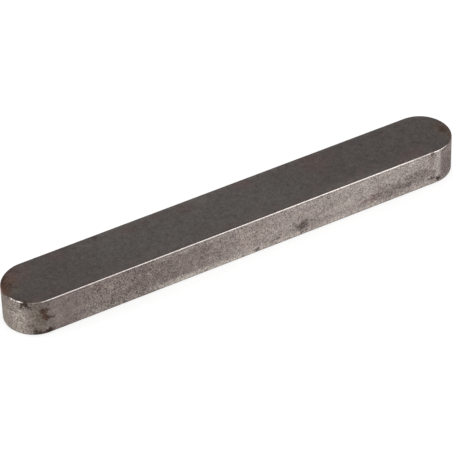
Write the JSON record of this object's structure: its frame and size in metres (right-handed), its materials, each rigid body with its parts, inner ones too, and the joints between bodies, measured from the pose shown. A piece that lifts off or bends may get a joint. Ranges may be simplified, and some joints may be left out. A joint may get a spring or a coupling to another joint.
{
  "type": "parallel key",
  "caption": "Flat steel parallel key with rounded ends, to lock a hub to a shaft in their keyways.",
  "frame": {"origin": "centre of the bottom face, which seats on the floor of the shaft's keyway", "axes": "+X along the key and the shaft, +Y across the key from flank to flank, +Z from the shaft towards the hub"},
  "size_m": [0.11, 0.014, 0.009],
  "materials": {
    "key_steel": "satin drawn steel, greyed and speckled by light oxidation, with bright broken edges"
  },
  "bodies": {
    "root": {"parallel_key": "key_steel"}
  },
  "joints": []
}
